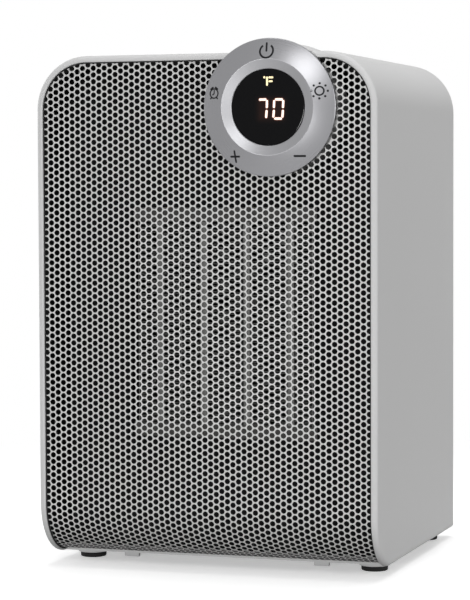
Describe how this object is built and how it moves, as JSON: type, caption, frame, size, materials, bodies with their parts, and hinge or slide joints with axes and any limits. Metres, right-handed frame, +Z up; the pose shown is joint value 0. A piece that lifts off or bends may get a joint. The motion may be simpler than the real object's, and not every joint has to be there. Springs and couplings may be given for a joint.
{
  "type": "ceramic fan heater",
  "caption": "Free-standing box heater with a perforated front that curves under, a round touch dial with a lit display, a ceramic element and an axial fan behind it.",
  "frame": {"origin": "on the floor under the middle of the part's box", "axes": "+X to the right of someone facing the grille, +Y from the grille to the back, +Z up"},
  "size_m": [0.2, 0.19, 0.2986],
  "materials": {
    "case_plastic": "pale grey moulded plastic with a soft satin gloss",
    "grille_metal": "perforated steel sheet with a pale silver paint",
    "dark_plastic": "black heat-proof moulded plastic",
    "cover_plastic": "grey moulded plastic with a fine texture",
    "ring_metal": "satin silver with a spun sheen",
    "lens_black": "black clear-coated window",
    "board_green": "green circuit board",
    "digit_light": "white light-emitting numerals",
    "contact_steel": "bright spring steel",
    "foot_rubber": "black soft rubber",
    "element_aluminium": "bare aluminium",
    "element_frame": "sand-coloured heat-proof plastic",
    "terminal_brass": "tinned brass tabs",
    "impeller_plastic": "dark grey moulded plastic",
    "motor_iron": "stacked electrical steel",
    "motor_coil": "enamelled copper winding",
    "bush_bronze": "oil-filled sintered bronze",
    "screw_steel": "zinc-plated steel",
    "relay_blue": "blue sealed relay case",
    "wire_sleeve": "white silicone sleeving"
  },
  "bodies": {
    "heater": {"casing_shell": "case_plastic", "front_grille": "grille_metal", "grille_frame": "dark_plastic", "front_baffle": "dark_plastic", "base_plate": "case_plastic", "rear_cover": "cover_plastic", "control_ring": "ring_metal", "display_lens": "lens_black", "control_pod": "dark_plastic", "display_board": "board_green", "digit_module": "digit_light", "touch_springs": "contact_steel", "fin_plates": "element_aluminium", "heater_end_top": "element_frame", "heater_end_bottom": "element_frame", "heater_terminals": "terminal_brass", "heater_duct": "dark_plastic", "thermal_cutout": "dark_plastic", "thermal_fuse": "contact_steel", "fan_shroud": "dark_plastic", "motor_spider": "dark_plastic", "motor_bracket_front": "contact_steel", "motor_bracket_rear": "contact_steel", "motor_bush_front": "bush_bronze", "motor_bush_rear": "bush_bronze", "motor_spacers": "screw_steel", "motor_stator": "motor_iron", "motor_coil": "motor_coil", "control_board": "board_green", "relays": "relay_blue", "filter_capacitor": "dark_plastic", "standby_transformer": "motor_iron", "rocker_body": "dark_plastic", "cord_gland": "dark_plastic", "tip_switch_body": "dark_plastic", "tip_spring": "contact_steel", "sensor_clip": "dark_plastic", "room_sensor": "dark_plastic", "wiring_harness": "wire_sleeve", "heater_fins": "element_aluminium", "rear_cover_screws": "screw_steel", "base_screws": "screw_steel", "shroud_screws": "screw_steel", "motor_screws": "screw_steel", "pod_screws": "screw_steel", "board_screws": "screw_steel", "foot_front_left": "foot_rubber", "foot_front_right": "foot_rubber", "foot_rear_left": "foot_rubber", "foot_rear_right": "foot_rubber", "heater_tube_1": "element_aluminium", "heater_tube_2": "element_aluminium", "heater_tube_3": "element_aluminium", "heater_tube_4": "element_aluminium"},
    "fan": {"fan_impeller": "impeller_plastic", "motor_shaft": "contact_steel", "motor_rotor": "motor_iron"},
    "rocker": {"rocker_paddle": "dark_plastic"},
    "tip_pin": {"tip_plunger": "dark_plastic"}
  },
  "joints": [
    {"name": "fan_spin", "type": "hinge", "parent": "heater", "child": "fan", "pos_m": [0, 0.02, 0.1393], "axis": [0, 1, 0], "continuous": true},
    {"name": "rocker_throw", "type": "hinge", "parent": "heater", "child": "rocker", "pos_m": [0.062, 0.0895, 0.044], "axis": [1, 0, 0], "range_deg": [-16, 0]},
    {"name": "tip_pin_slide", "type": "slide", "parent": "heater", "child": "tip_pin", "axis": [0, 0, 1], "range_m": [-0.004, 0], "stiffness_N_per_m": 40, "springref_m": -0.01, "deforming": ["tip_spring"]}
  ]
}
